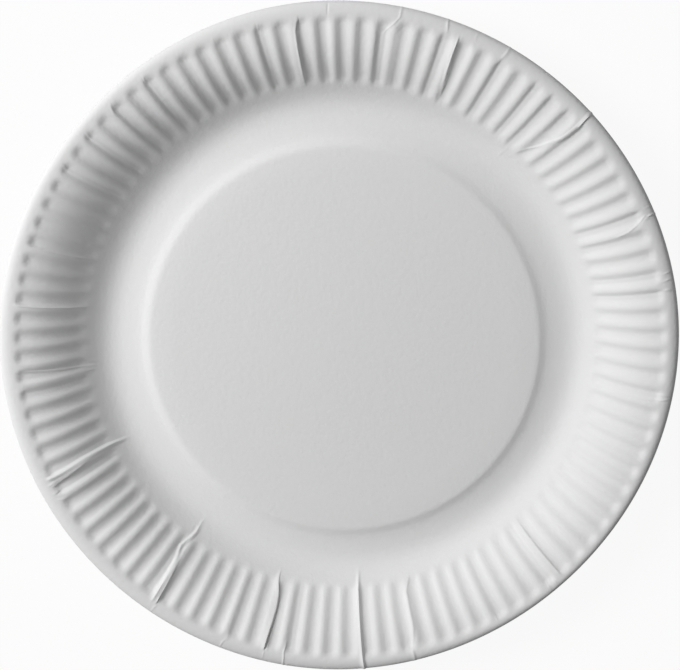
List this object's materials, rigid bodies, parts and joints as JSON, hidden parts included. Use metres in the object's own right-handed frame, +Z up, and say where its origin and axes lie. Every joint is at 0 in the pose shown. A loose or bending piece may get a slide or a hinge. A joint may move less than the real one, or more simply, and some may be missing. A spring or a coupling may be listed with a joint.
{
  "type": "fluted paper plate",
  "caption": "Round pressed paper plate with a raised centre panel, a shallow moat, a finely fluted sloping wall and a rolled rim.",
  "frame": {"origin": "centre of the foot ring, on the plane that the plate stands on", "axes": "+Z up along the plate's axis, out of the well; +X towards the right edge of the picture and +Y towards its top"},
  "size_m": [0.23, 0.23, 0.021],
  "materials": {
    "board": "matte"
  },
  "bodies": {
    "root": {"plate": "board"}
  },
  "joints": []
}
